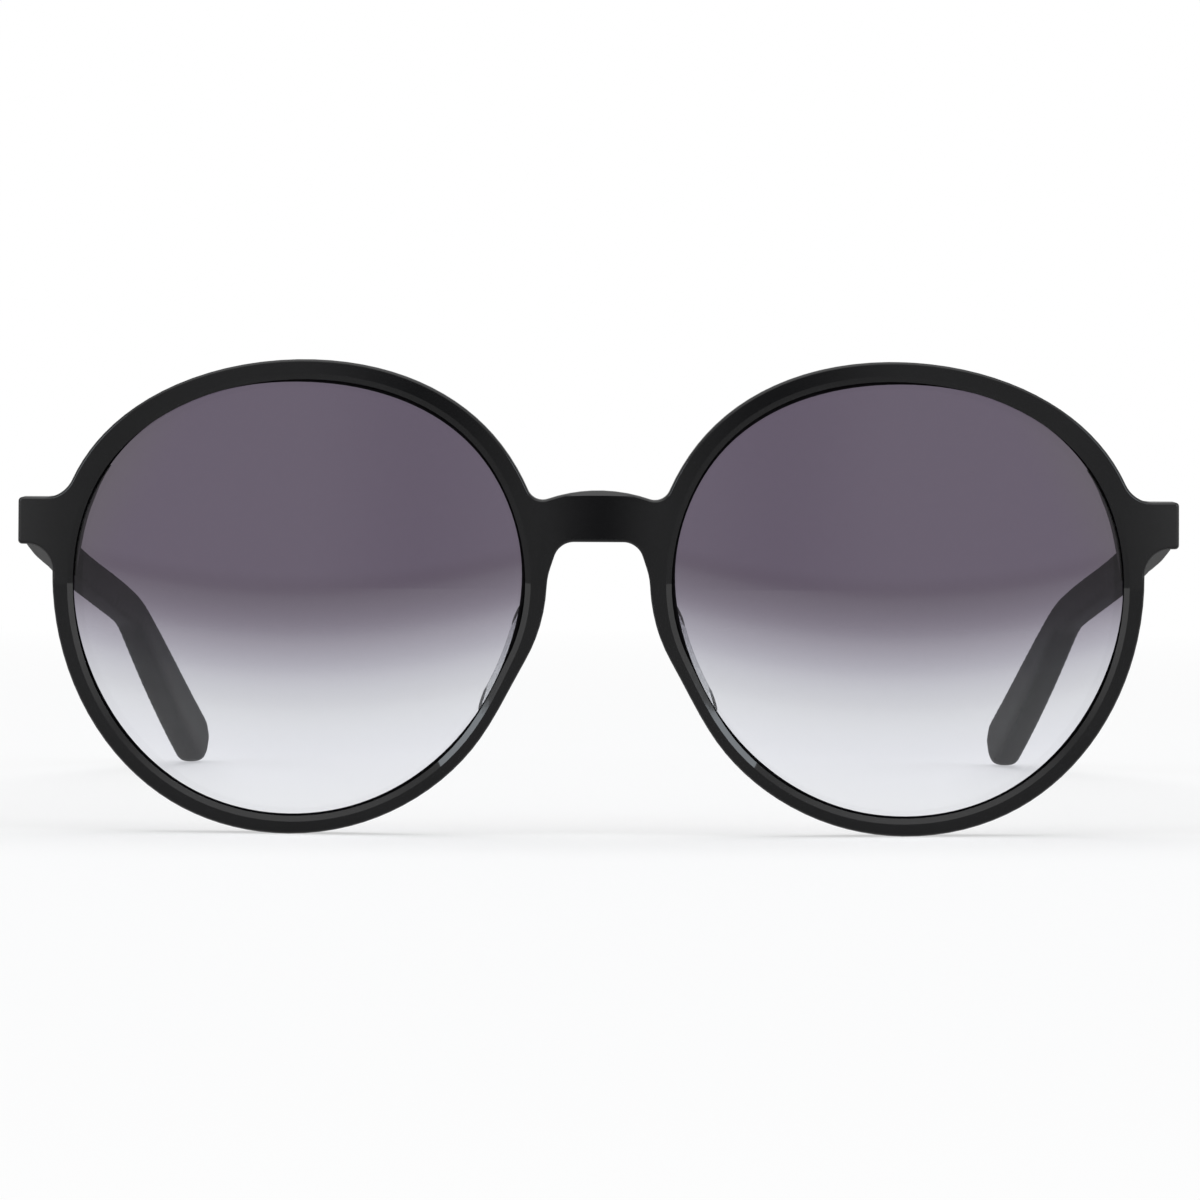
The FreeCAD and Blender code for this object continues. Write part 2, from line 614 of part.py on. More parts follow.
def build_front_hinge():
    """Three barrels on a plate, drawn about the hinge axis at the middle of the stack."""
    body = new_body("left_front_hinge")
    barrel = size("barrel_radius")
    face_y = butt_y - pivot_y
    web = [
        Part.LineSegment(Vector(-barrel, 0, 0), Vector(-barrel, face_y, 0)),
        Part.LineSegment(Vector(-barrel, face_y, 0), Vector(barrel, face_y, 0)),
        Part.LineSegment(Vector(barrel, face_y, 0), Vector(barrel, 0, 0)),
        arc_through(Vector(barrel, 0, 0), Vector(0, barrel, 0), Vector(-barrel, 0, 0)),
    ]
    column = body_sketch(body, "barrel_column", "XY_Plane", web)
    pad = feature(body, "PartDesign::Pad", "barrels", column, Midplane=True)
    bind(pad, Length="sizes.stack_height")
    doc.recompute()
    height = size("barrel_height")
    reach = 2 * barrel
    gaps = []
    for low in (-1.5 * height, 0.5 * height):
        gaps += polygon([(face_y, low), (reach, low), (reach, low + height), (face_y, low + height)])
    gap_sketch = body_sketch(body, "barrel_gaps", "YZ_Plane", gaps)
    feature(body, "PartDesign::Pocket", "gaps", gap_sketch, Type="ThroughAll", Midplane=True)
    half_plate = size("plate_height") / 2
    half_width = size("front_plate_width") / 2
    sunk_y = face_y - size("plate_thickness")
    plate_plan = [(-half_width, sunk_y), (half_width, sunk_y), (half_width, face_y), (-half_width, face_y)]
    plate_sketch = body_sketch(body, "plate_plan", "XY_Plane", polygon(plate_plan))
    plate = feature(body, "PartDesign::Pad", "plate", plate_sketch, Midplane=True)
    bind(plate, Length="sizes.plate_height")
    bore_sketch = body_sketch(
        body, "bore_circle", "XY_Plane", [circle(0, 0, size("screw_radius") + size("thread_clearance"))]
    )
    feature(body, "PartDesign::Pocket", "bore", bore_sketch, Type="ThroughAll", Midplane=True)
    doc.recompute()
    return body


def build_temple_hinge():
    """Two barrels between the front's three, on a plate that slopes with the temple."""
    body = new_body("left_temple_hinge")
    barrel = size("barrel_radius")
    inset = size("pivot_inset")
    web = [
        Part.LineSegment(Vector(0, -barrel, 0), Vector(inset, -barrel, 0)),
        Part.LineSegment(Vector(inset, -barrel, 0), Vector(inset, barrel, 0)),
        Part.LineSegment(Vector(inset, barrel, 0), Vector(0, barrel, 0)),
        arc_through(Vector(0, barrel, 0), Vector(-barrel, 0, 0), Vector(0, -barrel, 0)),
    ]
    column = body_sketch(body, "temple_barrel_column", "XY_Plane", web)
    pad = feature(body, "PartDesign::Pad", "temple_barrels", column, Midplane=True)
    bind(pad, Length="3 * sizes.barrel_height - 2 * sizes.barrel_gap")
    doc.recompute()
    half_gap = size("barrel_height") / 2 + size("barrel_gap")
    reach = 2 * barrel
    gap = polygon([(-reach, -half_gap), (inset, -half_gap), (inset, half_gap), (-reach, half_gap)])
    gap_sketch = body_sketch(body, "middle_gap", "XZ_Plane", gap)
    feature(body, "PartDesign::Pocket", "gap", gap_sketch, Type="ThroughAll", Midplane=True)
    plate_sketch = body_sketch(body, "sloping_plate", "YZ_Plane", sloping_plate(0.0), inset)
    plate = feature(body, "PartDesign::Pad", "temple_plate", plate_sketch)
    bind(plate, Length="sizes.plate_thickness")
    bore_sketch = body_sketch(
        body, "running_bore_circle", "XY_Plane", [circle(0, 0, size("screw_radius") + size("running_clearance"))]
    )
    feature(body, "PartDesign::Pocket", "running_bore", bore_sketch, Type="ThroughAll", Midplane=True)
    doc.recompute()
    return body


def sloping_plate(grow):
    """Side view of the temple hinge's plate about the hinge axis, following the temple's droop."""
    droop = math.tan(math.radians(size("temple_droop")))
    half = size("plate_height") / 2 + grow
    start = size("temple_plate_start") - size("barrel_radius") - grow
    end = start + size("temple_plate_length") + 2 * grow
    taper = size("temple_plate_taper")
    return polygon(
        [
            (start, -half - start * droop),
            (end, -half * taper - end * droop),
            (end, half * taper - end * droop),
            (start, half - start * droop),
        ]
    )


def build_screw():
    """The slotted hinge screw, turned about its axis."""
    body = new_body("left_hinge_screw")
    half = stack_height / 2
    shank = size("screw_radius")
    head = size("screw_head_radius")
    top = half + size("screw_head_height")
    dome = size("screw_dome")
    dome_radius = (head**2 + dome**2) / (2 * dome)
    halfway = Vector(head / 2, top - dome_radius + math.sqrt(dome_radius**2 - (head / 2) ** 2), 0)
    corners = [(0, top), (0, -half), (shank, -half), (shank, half), (head, half), (head, top - dome)]
    profile = line_through([Vector(x, z, 0) for x, z in corners], closed=False)
    profile.append(arc_through(Vector(head, top - dome, 0), halfway, Vector(0, top, 0)))
    turned = body_sketch(body, "screw_profile", "XZ_Plane", profile)
    revolve = feature(body, "PartDesign::Revolution", "turned_screw", turned, Angle=360.0)
    revolve.ReferenceAxis = (turned, ["V_Axis"])
    doc.recompute()
    slot = size("screw_slot_width") / 2
    floor_z = top - size("screw_slot_depth")
    mouth_z = top + CUT_OVERRUN
    section = polygon([(-slot, floor_z), (slot, floor_z), (slot, mouth_z), (-slot, mouth_z)])
    slot_sketch = body_sketch(body, "slot_section", "XZ_Plane", section)
    feature(body, "PartDesign::Pocket", "slot", slot_sketch, Type="ThroughAll", Midplane=True)
    doc.recompute()
    return body


# ---------------------------------------------------------------- temples


def heading(slope):
    """The unit vector along the temple in side view where it slopes down by an angle in radians."""
    return Vector(math.cos(slope), -math.sin(slope), 0)


def upward(slope):
    return Vector(math.sin(slope), math.cos(slope), 0)


def bend_length():
    return math.radians(size("tip_angle") - size("temple_droop")) * size("bend_radius")


def temple_length():
    """Butt to the end of the tip, along the temple's middle line."""
    return size("temple_reach") + bend_length() + size("tip_length")


def along_temple(distance, height=0.0):
    """A point at a height off the temple's middle line, in side view about the hinge axis."""
    droop = math.radians(size("temple_droop"))
    reach = size("temple_reach")
    radius = size("bend_radius")
    slope = droop + min(max(distance - reach, 0), bend_length()) / radius
    past = max(distance - reach - bend_length(), 0)
    point = Vector(-size("barrel_radius"), 0, 0) + heading(droop) * min(distance, reach)
    point += (upward(slope) - upward(droop)) * radius + heading(slope) * past
    return point + upward(slope) * height


def standing_tip_length(floor_z):
    """The tip length at which the tip's round end just touches a floor at this height from the eye centres."""
    tip_radius = size("tip_width") / 2
    bend_end_z = size("end_piece_z") + along_temple(size("temple_reach") + bend_length()).y
    return tip_radius + (bend_end_z - tip_radius - floor_z) / math.sin(math.radians(size("tip_angle")))


def smooth_curve(points):
    """A smooth curve through points that starts straight and ends along the tip."""
    curve = Part.BSplineCurve()
    start = (points[1] - points[0]).normalize()
    curve.interpolate(Points=points, InitialTangent=start, FinalTangent=heading(math.radians(size("tip_angle"))))
    return curve


def temple_side_view():
    """The temple's outline from the butt over the bend to the rounded tip."""
    reach = size("temple_reach")
    tip_radius = size("tip_width") / 2
    neck = size("temple_neck") / 2
    stations = (
        (size("taper_length"), neck),
        (reach, neck),
        (reach + bend_length() / 2, neck),
        (reach + bend_length(), size("bend_end_height") / 2),
        (temple_length() - tip_radius, tip_radius),
    )
    half_butt = Vector(0, size("end_piece_height") / 2, 0)
    butt = along_temple(0)
    upper = [butt + half_butt] + [along_temple(distance, height) for distance, height in stations]
    lower = [butt - half_butt] + [along_temple(distance, -height) for distance, height in stations]
    return [
        smooth_curve(upper),
        arc_through(upper[-1], along_temple(temple_length()), lower[-1]),
        smooth_curve(lower),
        Part.LineSegment(lower[0], upper[0]),
    ]


def plan_arc(x):
    """The temple's inward curve in plan, through x beside the hinge axis, run past both ends of the temple."""
    centre_x = size("pivot_inset") + size("temple_thickness") / 2 - size("temple_curve")
    first_y = -CUT_MARGIN
    last_y = temple_length() + CUT_MARGIN
    stations = (first_y, (first_y + last_y) / 2, last_y)
    return arc_through(*(Vector(centre_x + math.sqrt((x - centre_x) ** 2 - y**2), y, 0) for y in stations))


def side_strip(arc, x):
    """The plan area between an arc and a straight line at x."""
    corners = [arc.EndPoint, Vector(x, arc.EndPoint.y, 0), Vector(x, arc.StartPoint.y, 0), arc.StartPoint]
    return [arc] + line_through(corners, closed=False)


def build_temple_body():
    """The acetate temple: its side view padded across, then cut to its inward curve and bevelled."""
    body = new_body("temple_blank")
    side = body_sketch(body, "temple_side", "YZ_Plane", temple_side_view())
    feature(body, "PartDesign::Pad", "temple_pad", side, Midplane=True, Length=CUT_SPAN)
    doc.recompute()
    inner_x = size("pivot_inset")
    outer_x = inner_x + size("temple_thickness")
    inner = body_sketch(body, "inner_strip", "XY_Plane", side_strip(plan_arc(inner_x), -CUT_SPAN))
    feature(body, "PartDesign::Pocket", "inner_cut", inner, Type="ThroughAll", Midplane=True)
    outer = body_sketch(body, "outer_strip", "XY_Plane", side_strip(plan_arc(outer_x), CUT_SPAN))
    cut = feature(body, "PartDesign::Pocket", "outer_cut", outer, Type="ThroughAll", Midplane=True)
    doc.recompute()
    long_edges = [
        f"Edge{number}"
        for number, edge in enumerate(cut.Shape.Edges, start=1)
        if edge.Length > size("end_piece_height") and edge.BoundBox.YLength > size("temple_thickness")
    ]
    bevelled = feature(body, "PartDesign::Chamfer", "temple_bevel", None)
    bevelled.Base = (cut, long_edges)
    bind(bevelled, Size="sizes.temple_edge_break")
    doc.recompute()
    return body


def core_strip(name, grow=0.0):
    """The core wire, or with some growth the channel round it: its side view and its plan crossed."""
    start = size("temple_plate_start") + size("temple_plate_length") + size("core_inset") - grow
    stop = temple_length() - size("core_end") + grow
    reach = size("temple_reach")
    stations = (start, size("taper_length"), reach, reach + bend_length() / 2, reach + bend_length(), stop)
    half_height = size("core_height") / 2 + grow
    upper = [along_temple(distance, half_height) for distance in stations]
    lower = [along_temple(distance, -half_height) for distance in stations]
    side = [smooth_curve(upper), Part.LineSegment(upper[-1], lower[-1])]
    side += [smooth_curve(lower), Part.LineSegment(lower[0], upper[0])]
    middle = size("pivot_inset") + size("temple_thickness") / 2
    half_thickness = size("core_thickness") / 2 + grow
    inner = plan_arc(middle - half_thickness)
    outer = plan_arc(middle + half_thickness)
    plan = [inner, Part.LineSegment(inner.EndPoint, outer.EndPoint)]
    plan += [outer, Part.LineSegment(outer.StartPoint, inner.StartPoint)]
    return add(
        "Part::Common",
        name,
        Base=slab(name + "_side", Placement(Vector(), SIDE_TURN), side, Vector(1, 0, 0)),
        Tool=slab(name + "_plan", PLAN_VIEW, plan, Vector(0, 0, 1)),
    )


def build_temple():
    """The temple with its channel for the core wire and its pocket for the hinge plate."""
    view = Placement(Vector(size("pivot_inset") - CUT_OVERRUN, 0, 0), SIDE_TURN)
    pocket = add("Part::Extrusion", "temple_plate_pocket", DirMode="Custom", Dir=Vector(1, 0, 0), Solid=True)
    pocket.Base = free_sketch("temple_plate_pocket_side", view, sloping_plate(size("plate_fit")))
    bind(pocket, LengthFwd=f"sizes.plate_thickness + sizes.plate_fit + {CUT_OVERRUN}")
    channel = core_strip("core_channel", size("plate_fit"))
    tools = add("Part::MultiFuse", "temple_cutters", Shapes=[pocket, channel])
    return add("Part::Cut", "left_temple", Base=build_temple_body(), Tool=tools)


# ---------------------------------------------------------------- assembly


def mirrored(item):
    """The right side's copy of a left piece."""
    name = item.Label.replace("left_", "right_")
    return add("Part::Mirroring", name, Label=name, Source=item, Normal=Vector(1, 0, 0), Base=Vector())


front = build_front()
doc.recompute()
front_box = front.Shape.optimalBoundingBox(False, False)
derive("floor_lift", -front_box.ZMin)
derive("tip_length", standing_tip_length(front_box.ZMin))
temple = build_temple()
doc.recompute()
derive("half_depth", (temple.Shape.optimalBoundingBox(False, False).YMax + pivot_y + front_box.YMin) / 2)

fixed_pieces = [eye_plate("left_lens", (1,)), build_nose_pad()]
hinged_pieces = [build_front_hinge(), build_temple_hinge(), build_screw(), temple, core_strip("left_core_wire")]
for item in [front] + fixed_pieces:
    bind(item, Placement__Base__y="-sizes.half_depth", Placement__Base__z="sizes.floor_lift")
for item in hinged_pieces:
    bind(
        item,
        Placement__Base__x="sizes.pivot_x",
        Placement__Base__y="sizes.pivot_y - sizes.half_depth",
        Placement__Base__z="sizes.end_piece_z + sizes.floor_lift",
    )
sub_parts = [front] + fixed_pieces + hinged_pieces
sub_parts += [mirrored(item) for item in fixed_pieces + hinged_pieces]
doc.recompute()

for item in doc.Objects:
    if "Invalid" in item.State or "Error" in item.State:
        raise RuntimeError(f"{item.Label} failed: {item.State}")
for item in sub_parts:
    if item.Shape.isNull() or not item.Shape.isValid() or not item.Shape.Solids:
        raise RuntimeError(f"{item.Label} has no valid solid")
    item.Shape.exportStep(f"parts/{item.Label}.step")
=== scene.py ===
"""Oversized round sunglasses standing open on a white table: polished black acetate, smoked gradient lenses,
clear nose pads and nickel-silver hinges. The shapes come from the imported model, and this script gives them
their soft edges, their finishes, the studio and the camera. Metres, in the model's own frame.
"""

import json
import math

import bmesh
import bpy
from mathutils import Matrix, Vector

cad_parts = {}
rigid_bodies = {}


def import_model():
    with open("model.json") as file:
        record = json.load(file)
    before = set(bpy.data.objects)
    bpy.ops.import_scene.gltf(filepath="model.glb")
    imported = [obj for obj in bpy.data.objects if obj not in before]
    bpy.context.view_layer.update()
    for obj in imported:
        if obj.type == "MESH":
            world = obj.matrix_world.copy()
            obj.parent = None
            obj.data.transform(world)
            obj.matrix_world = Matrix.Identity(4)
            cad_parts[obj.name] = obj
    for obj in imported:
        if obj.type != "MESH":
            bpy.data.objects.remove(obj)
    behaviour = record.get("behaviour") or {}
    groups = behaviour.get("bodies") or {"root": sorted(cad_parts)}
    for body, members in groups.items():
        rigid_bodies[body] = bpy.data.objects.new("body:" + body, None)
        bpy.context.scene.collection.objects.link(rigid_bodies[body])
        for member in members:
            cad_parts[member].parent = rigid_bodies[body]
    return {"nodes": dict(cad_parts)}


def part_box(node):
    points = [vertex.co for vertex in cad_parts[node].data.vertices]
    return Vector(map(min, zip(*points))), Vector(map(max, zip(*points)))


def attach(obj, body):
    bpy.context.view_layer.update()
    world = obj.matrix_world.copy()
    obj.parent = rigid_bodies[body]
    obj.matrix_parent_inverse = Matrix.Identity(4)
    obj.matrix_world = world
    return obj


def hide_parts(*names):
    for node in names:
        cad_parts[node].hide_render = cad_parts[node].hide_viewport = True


for start_up_object in list(bpy.data.objects):
    bpy.data.objects.remove(start_up_object)
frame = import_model()
bpy.context.view_layer.update()

# The front's two balls: each rim and lens is cut from shells about one of these centres.
FRONT_RADIUS = 0.133
FACE_FORM = math.radians(5.7)
LENS_SETBACK = 0.001
EYE_X = 0.0377
EYE_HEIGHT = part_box("front_frame")[1][2] / 2 - 0.00007
APEX_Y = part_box("left_lens")[0][1] - LENS_SETBACK
BALL_X = EYE_X - FRONT_RADIUS * math.sin(FACE_FORM)
BALL_CENTRES = [Vector((side * BALL_X, APEX_Y + FRONT_RADIUS, EYE_HEIGHT)) for side in (1, -1)]
BALL_TOLERANCE = 0.000005

# Corners closer than this are one corner.
MERGE_DISTANCE = 1e-7

# Widths up to which a narrow bevel of each piece is shaded as a round edge, from faces that turn away from it
# by no more than the given cosine.
FRONT_SOFT_WIDTH = 0.00065
PAD_SOFT_WIDTH = 0.00060
NO_SOFT_WIDTH = 0.0
BESIDE_COSINE = 0.2

# The temples' even mesh, and the rounding that sets in behind the hinge and is full a little further back.
ROUND_MESH = 0.00030
ROUND_STEPS = 36
ROUND_START = -0.0400
ROUND_SHIFT = 0.0003
ROUND_FACTOR = 0.5

# The camera's place, from the photograph's proportions, and its lens and sensor in millimetres.
FRONT_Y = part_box("front_frame")[0][1]
CAMERA_DISTANCE = 0.800
CAMERA_RISE = 0.0333
CAMERA_SIDE = 0.00021
CAMERA_ROLL = math.radians(0.28)
FOCAL_LENGTH = 192.0
SENSOR_WIDTH = 36.0
NEAREST_SEEN = 0.05
FARTHEST_SEEN = 20.0


def linear(red, green, blue):
    """A screen colour in 0 to 255 as the linear colour that a shader takes."""
    parts = [value / 255 for value in (red, green, blue)]
    return tuple(v / 12.92 if v <= 0.04045 else ((v + 0.055) / 1.055) ** 2.4 for v in parts) + (1.0,)


# ---------------------------------------------------------------- pieces with soft edges


def face_patches(mesh):
    """For each triangle, the number of the solid's face it came from: packed faces share no corners."""
    owner = list(range(len(mesh.vertices)))

    def root(index):
        while owner[index] != index:
            owner[index] = owner[owner[index]]
            index = owner[index]
        return index

    for polygon in mesh.polygons:
        first = root(polygon.vertices[0])
        for vertex in polygon.vertices[1:]:
            owner[root(vertex)] = first
    return [root(polygon.vertices[0]) for polygon in mesh.polygons]


def patch_widths(mesh, patches):
    """The mean width of each patch: twice its area over the length of its border."""
    area = {}
    uses = {}
    for polygon, patch in zip(mesh.polygons, patches):
        area[patch] = area.get(patch, 0.0) + polygon.area
        for key in polygon.edge_keys:
            uses.setdefault(key, []).append(patch)
    border = {}
    for (first, second), owners in uses.items():
        if len(owners) == 1:
            length = (mesh.vertices[first].co - mesh.vertices[second].co).length
            border[owners[0]] = border.get(owners[0], 0.0) + length
    return {patch: 2 * area[patch] / border[patch] for patch in area if patch in border}


def ball_of(points):
    """The ball centre from which all the points are equally far, if there is one."""
    for centre in BALL_CENTRES:
        distances = [(point - centre).length for point in points]
        if max(distances) - min(distances) < BALL_TOLERANCE:
            return centre
    return None


def corner_normals(mesh, patches, soft_width):
    """A normal for each patch at each of its corners.

    A patch on one of the front's balls gets the ball's exact normals. A narrow bevel takes over those of
    the faces beside it, so that it shades as a round edge.
    """
    widths = patch_widths(mesh, patches)
    points = {}
    normals = {}
    for polygon, patch in zip(mesh.polygons, patches):
        for loop in polygon.loop_indices:
            corner = tuple(mesh.vertices[mesh.loops[loop].vertex_index].co)
            points.setdefault(patch, set()).add(corner)
            normals[patch, corner] = mesh.corner_normals[loop].vector.copy()
    narrow = {patch for patch, width in widths.items() if width <= soft_width}
    meeting = {}
    for patch, corners in points.items():
        centre = ball_of([Vector(corner) for corner in corners])
        for corner in corners:
            if centre is not None:
                outward = (Vector(corner) - centre).normalized()
                normals[patch, corner] = outward if outward.dot(normals[patch, corner]) > 0 else -outward
            if patch not in narrow:
                meeting.setdefault(corner, []).append(normals[patch, corner])
    for patch in narrow:
        for corner in points[patch]:
            own = normals[patch, corner]
            beside = [normal for normal in meeting.get(corner, []) if normal.dot(own) > BESIDE_COSINE]
            if beside:
                normals[patch, corner] = sum(beside, Vector()).normalized()
    return normals


def stand_in(node, mesh, body):
    """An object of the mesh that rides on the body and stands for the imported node."""
    piece = bpy.data.objects.new(node + "_soft", mesh)
    bpy.context.collection.objects.link(piece)
    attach(piece, body)
    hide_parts(node)
    return piece


def soft_piece(node, body, soft_width):
    """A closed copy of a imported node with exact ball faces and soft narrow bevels, standing for the node."""
    packed = frame["nodes"][node].data
    patches = face_patches(packed)
    normals = corner_normals(packed, patches, soft_width)
    shape = bmesh.new()
    shape.from_mesh(packed)
    layer = shape.faces.layers.int.new("patch")
    for face, patch in zip(shape.faces, patches):
        face[layer] = patch
        face.smooth = True
    bmesh.ops.remove_doubles(shape, verts=shape.verts, dist=MERGE_DISTANCE)
    mesh = bpy.data.meshes.new(node + "_soft")
    shape.to_mesh(mesh)
    shape.free()
    numbers = mesh.attributes["patch"].data
    corners = []
    for polygon in mesh.polygons:
        patch = numbers[polygon.index].value
        for vertex in polygon.vertices:
            place = tuple(mesh.vertices[vertex].co)
            corners.append(normals.get((patch, place), polygon.normal))
    mesh.attributes.remove(mesh.attributes["patch"])
    mesh.materials.clear()
    mesh.normals_split_custom_set(corners)
    return stand_in(node, mesh, body)


def rounded_piece(node, body):
    """A closed copy of a packed temple, meshed evenly and rounded behind its hinge, standing for the node."""
    shape = bmesh.new()
    shape.from_mesh(frame["nodes"][node].data)
    bmesh.ops.remove_doubles(shape, verts=shape.verts, dist=MERGE_DISTANCE)
    mesh = bpy.data.meshes.new(node + "_soft")
    shape.to_mesh(mesh)
    mesh.materials.clear()
    piece = stand_in(node, mesh, body)
    even = piece.modifiers.new("even_mesh", "REMESH")
    even.mode = "VOXEL"
    even.voxel_size = ROUND_MESH
    shape.clear()
    shape.from_mesh(piece.evaluated_get(bpy.context.evaluated_depsgraph_get()).to_mesh())
    piece.modifiers.remove(even)
    for step in range(ROUND_STEPS):
        start = ROUND_START + step * ROUND_SHIFT
        behind = [vertex for vertex in shape.verts if vertex.co.y > start]
        axes = {"use_axis_x": True, "use_axis_y": True, "use_axis_z": True}
        bmesh.ops.smooth_vert(shape, verts=behind, factor=ROUND_FACTOR, **axes)
    for face in shape.faces:
        face.smooth = True
    shape.to_mesh(mesh)
    shape.free()
    return piece


# ---------------------------------------------------------------- shader building


class Graph:
    """A node tree with short calls for making and joining its nodes."""

    def __init__(self, tree):
        self.tree = tree
        tree.nodes.clear()

    def add(self, kind, inputs=None, **settings):
        node = self.tree.nodes.new(kind)
        for name, value in settings.items():
            setattr(node, name, value)
        for name, value in (inputs or {}).items():
            self.feed(node, name, value)
        return node

    def feed(self, node, name, value):
        """Sets an input, or links it where the value is another node's output."""
        socket = node.inputs[name]
        if isinstance(value, bpy.types.NodeSocket):
            self.tree.links.new(value, socket)
        else:
            socket.default_value = value

    def math(self, operation, first, second=0.0, clamp=False):
        node = self.add("ShaderNodeMath", operation=operation, use_clamp=clamp)
        self.feed(node, 0, first)
        self.feed(node, 1, second)
        return node.outputs[0]

    def spread(self, value, low, high, start=0.0, end=1.0, shape="LINEAR"):
        """Maps a value from start and end to low and high, and holds it there outside them."""
        sockets = {"Value": value, "From Min": start, "From Max": end, "To Min": low, "To Max": high}
        return self.add("ShaderNodeMapRange", sockets, interpolation_type=shape).outputs["Result"]

    def between(self, factor, first, second):
        """A mix of two numbers."""
        node = self.add("ShaderNodeMix", data_type="FLOAT")
        for socket, value in ((0, factor), (2, first), (3, second)):
            self.feed(node, socket, value)
        return node.outputs[0]

    def ramp(self, factor, stops, interpolation="LINEAR"):
        """A colour ramp through (position, colour) stops."""
        node = self.add("ShaderNodeValToRGB", {"Fac": factor})
        node.color_ramp.interpolation = interpolation
        elements = node.color_ramp.elements
        while len(elements) < len(stops):
            elements.new(1.0)
        for element, (position, colour) in zip(elements, stops):
            element.position = position
            element.color = colour
        return node.outputs["Color"]

    def blend(self, factor, first, second):
        """A mix of two shaders."""
        node = self.add("ShaderNodeMixShader")
        for socket, value in enumerate((factor, first, second)):
            self.feed(node, socket, value)
        return node.outputs[0]

    def tinted(self, factor, first, second):
        """A mix of two colours."""
        node = self.add("ShaderNodeMix", data_type="RGBA")
        for socket, value in ((0, factor), (6, first), (7, second)):
            self.feed(node, socket, value)
        return node.outputs[2]

    def seen_directly(self, path):
        """One for what the camera sees by itself or through clear pieces."""
        return self.math("ADD", path["Is Camera Ray"], path["Is Transmission Ray"], clamp=True)

    def surface(self, shader):
        self.add("ShaderNodeOutputMaterial", {"Surface": shader})


def new_material(name):
    material = bpy.data.materials.new(name)
    material.use_nodes = True
    return material, Graph(material.node_tree)


def polishing_marks():
    """A group that puts out the faint unevenness of a finished surface: a tone, a polish and a height."""
    tree = bpy.data.node_groups.new("polishing_marks", "ShaderNodeTree")
    face = tree.interface
    for name in ("Cloud size", "Hairline size"):
        face.new_socket(name, in_out="INPUT", socket_type="NodeSocketFloat")
    for name in ("Tone", "Polish", "Height"):
        face.new_socket(name, in_out="OUTPUT", socket_type="NodeSocketFloat")
    graph = Graph(tree)
    sizes = graph.add("NodeGroupInput").outputs
    place = graph.add("ShaderNodeTexCoord").outputs["Object"]
    cloud = graph.add("ShaderNodeTexNoise", {"Vector": place, "Scale": sizes["Cloud size"], "Detail": 3.0})
    drawn_out = graph.add("ShaderNodeMapping", {"Vector": place, "Scale": (1.0, 0.12, 1.0)}).outputs[0]
    hairline = graph.add(
        "ShaderNodeTexNoise", {"Vector": drawn_out, "Scale": sizes["Hairline size"], "Detail": 2.0}
    )
    polish = graph.math("MULTIPLY", cloud.outputs["Fac"], hairline.outputs["Fac"])
    graph.add(
        "NodeGroupOutput", {"Tone": cloud.outputs["Fac"], "Polish": polish, "Height": hairline.outputs["Fac"]}
    )
    return tree


MARKS = polishing_marks()


def marks(graph, cloud_size, hairline_size):
    """The shared group placed in a material with its own sizes."""
    node = graph.add("ShaderNodeGroup", node_tree=MARKS)
    node.inputs["Cloud size"].default_value = cloud_size
    node.inputs["Hairline size"].default_value = hairline_size
    return node.outputs


# ---------------------------------------------------------------- the finishes

# The part of the clouds' range over which a finish goes from its first tone to its second.
CLOUD_LOW = 0.3
CLOUD_HIGH = 0.7

BLACK_DEEP = (0.0048, 0.0048, 0.0054, 1.0)
BLACK_PALE = (0.0085, 0.0085, 0.0093, 1.0)

# Refractive indices.
ACETATE_INDEX = 1.48
LENS_INDEX = 1.5
PAD_INDEX = 1.46


def black_acetate(name, smooth, rough):
    """Black cellulose acetate: nearly black and evenly finished, with the faintest polishing marks."""
    material, graph = new_material(name)
    wear = marks(graph, cloud_size=55.0, hairline_size=700.0)
    tone = graph.ramp(wear["Tone"], ((CLOUD_LOW, BLACK_DEEP), (CLOUD_HIGH, BLACK_PALE)))
    bump = graph.add("ShaderNodeBump", {"Height": wear["Height"], "Strength": 0.012, "Distance": 0.0001})
    sockets = {"Base Color": tone, "Roughness": graph.spread(wear["Polish"], smooth, rough)}
    shader = graph.add("ShaderNodeBsdfPrincipled", sockets)
    shader.inputs["IOR"].default_value = ACETATE_INDEX
    graph.feed(shader, "Normal", bump.outputs[0])
    graph.surface(shader.outputs[0])
    return material


# The lens's fade: where it starts and ends, how its line bends up at the sides, and its tints. The bend is
# partly the dye's own line and partly a painted reflection of the white room.
FADE_TOP = EYE_HEIGHT + 0.0035
FADE_BOTTOM = EYE_HEIGHT - 0.0260
FADE_DOME = 5.0
FADE_STOPS = (
    (0.0, linear(101, 92, 107)),
    (0.11, linear(104, 96, 109)),
    (0.28, linear(142, 137, 149)),
    (0.44, linear(187, 186, 195)),
    (0.60, linear(217, 218, 223)),
    (0.80, linear(233, 234, 239)),
    (1.0, linear(239, 240, 243)),
)

# A painted reflection, the greenish sheen at the lens's upper outer edge: how far out along its slant it
# starts and is full, and its share of the tint.
PAINTED_SHEEN_OUTWARD = 0.9
PAINTED_SHEEN_UPWARD = 0.45
PAINTED_SHEEN_START = 0.0215
PAINTED_SHEEN_END = 0.0310
PAINTED_SHEEN_SHARE = 0.35
PAINTED_SHEEN_COLOUR = linear(104, 102, 98)


